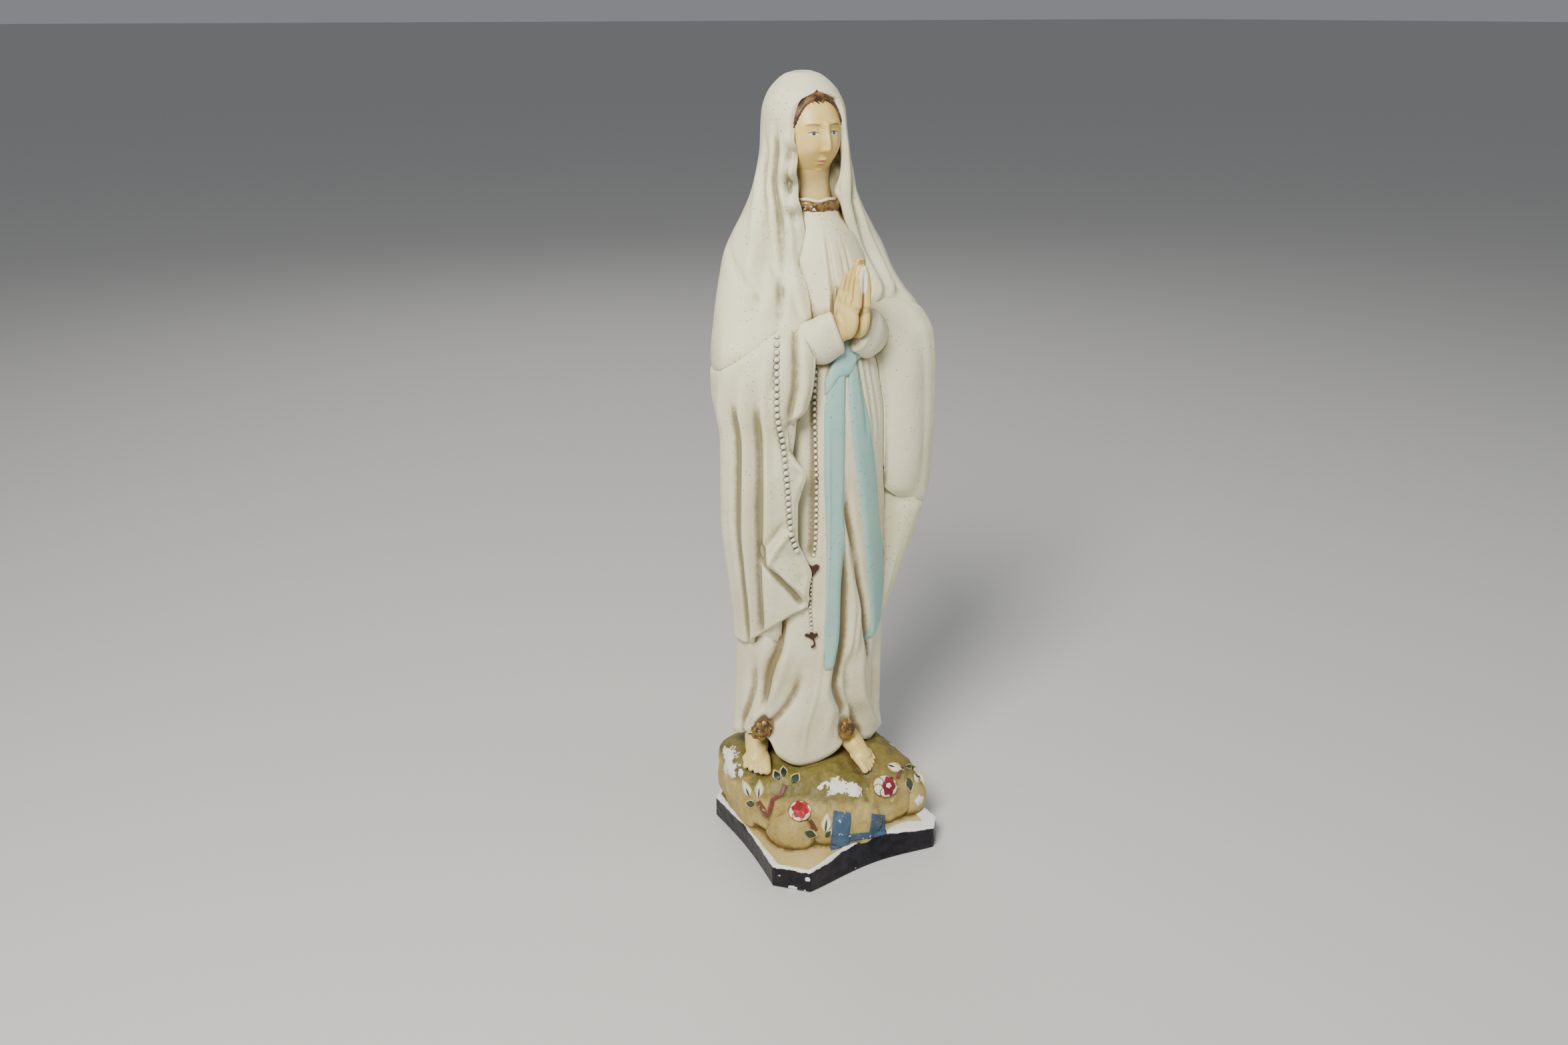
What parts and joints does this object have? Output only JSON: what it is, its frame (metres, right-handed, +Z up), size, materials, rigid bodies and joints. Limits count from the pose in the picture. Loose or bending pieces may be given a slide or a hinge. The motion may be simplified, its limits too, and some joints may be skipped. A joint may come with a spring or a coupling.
{
  "type": "madonna statue",
  "caption": "Painted plaster devotional statue: veiled, barefoot woman with joined hands, long sash and rosary, on a rocky base with roses.",
  "frame": {"origin": "on the rest face, under the middle of the plinth", "axes": "+Z up, the figure faces -Y, its right hand side is -X"},
  "size_m": [0.094, 0.078, 0.32],
  "materials": {
    "black_paint": "thin black gloss paint over plaster, chipped to white",
    "rock_paint": "matt cream plaster with an olive green wash",
    "water_paint": "matt slate blue paint",
    "gilt_paint": "worn bronze gold paint",
    "skin_paint": "satin ivory paint, yellowed",
    "hair_paint": "brown and gold paint",
    "gown_paint": "matt aged white paint, grimy in the folds",
    "mantle_paint": "matt aged white paint, grimy in the folds",
    "sash_paint": "satin pale blue green paint",
    "metal_paint": "brown paint, worn",
    "bead_paint": "moulded beads under the gown's white paint, dirt between them",
    "rose_paint": "red paint with white petals round it",
    "leaf_paint": "dark green and white paint",
    "stem_paint": "red brown paint"
  },
  "bodies": {
    "root": {"plinth": "black_paint", "rock_mound": "rock_paint", "rock_left_boulder": "rock_paint", "rock_front_boulder": "rock_paint", "rock_right_boulder": "rock_paint", "spring": "water_paint", "foot_right": "skin_paint", "foot_left": "skin_paint", "foot_rose_right": "gilt_paint", "foot_rose_left": "gilt_paint", "gown_skirt": "gown_paint", "gown_bodice": "gown_paint", "mantle_back": "mantle_paint", "mantle_right_side": "mantle_paint", "mantle_left_side": "mantle_paint", "drape_right": "mantle_paint", "drape_left": "mantle_paint", "sleeve_right": "mantle_paint", "sleeve_left": "mantle_paint", "hand_right": "skin_paint", "hand_left": "skin_paint", "sash_belt": "sash_paint", "sash_tail_right": "sash_paint", "sash_tail_left": "sash_paint", "rosary_arm_strand": "bead_paint", "rosary_skirt_strand": "bead_paint", "rosary_medal": "metal_paint", "rosary_pendant": "bead_paint", "rosary_crucifix": "metal_paint", "collar": "gilt_paint", "neck": "skin_paint", "head": "skin_paint", "hair_right": "hair_paint", "hair_left": "hair_paint", "veil_hood": "mantle_paint", "rose_front": "rose_paint", "rose_right": "rose_paint", "leaves_left": "leaf_paint", "leaves_front": "leaf_paint", "leaves_right": "leaf_paint", "briar_stem": "stem_paint"}
  },
  "joints": []
}
